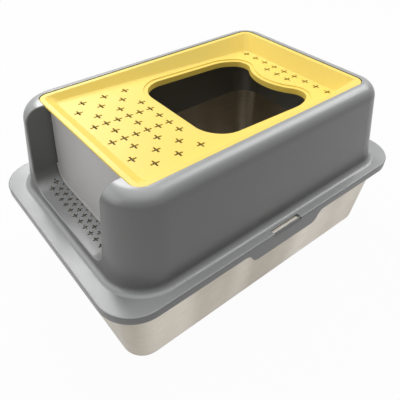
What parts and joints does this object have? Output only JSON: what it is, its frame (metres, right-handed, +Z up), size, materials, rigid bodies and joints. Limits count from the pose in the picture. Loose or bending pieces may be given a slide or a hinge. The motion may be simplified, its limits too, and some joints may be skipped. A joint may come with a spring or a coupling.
{
  "type": "covered litter box",
  "caption": "Covered cat litter box: flared steel pan on rubber pads, lift-off moulded hood with a front entry and swing flap, and a lift-out tray lid with a lobed opening and drain crosses.",
  "frame": {"origin": "on the floor under the middle of the box", "axes": "+Z up, +Y from the front entry towards the back, +X to the right as seen from the front entry"},
  "size_m": [0.4026, 0.6, 0.302],
  "materials": {
    "steel": "satin",
    "rubber": "matt",
    "grey_plastic": "fine satin grain",
    "light_grey_plastic": "fine satin grain",
    "yellow_plastic": "satin"
  },
  "bodies": {
    "base": {"litter_pan": "steel", "pad_front_left": "rubber", "pad_front_right": "rubber", "pad_back_left": "rubber", "pad_back_right": "rubber"},
    "hood": {"enclosure": "grey_plastic"},
    "cover": {"lid": "yellow_plastic"},
    "flap": {"front_flap": "light_grey_plastic"}
  },
  "joints": [
    {"name": "enclosure_lift", "type": "slide", "parent": "base", "child": "hood", "axis": [0, 0, 1], "range_m": [0, 0.2]},
    {"name": "lid_lift", "type": "slide", "parent": "hood", "child": "cover", "axis": [0, 0, 1], "range_m": [0, 0.12]},
    {"name": "flap_swing", "type": "hinge", "parent": "hood", "child": "flap", "pos_m": [0, -0.211, 0.2885], "axis": [-1, 0, 0], "range_deg": [0, 75]}
  ]
}
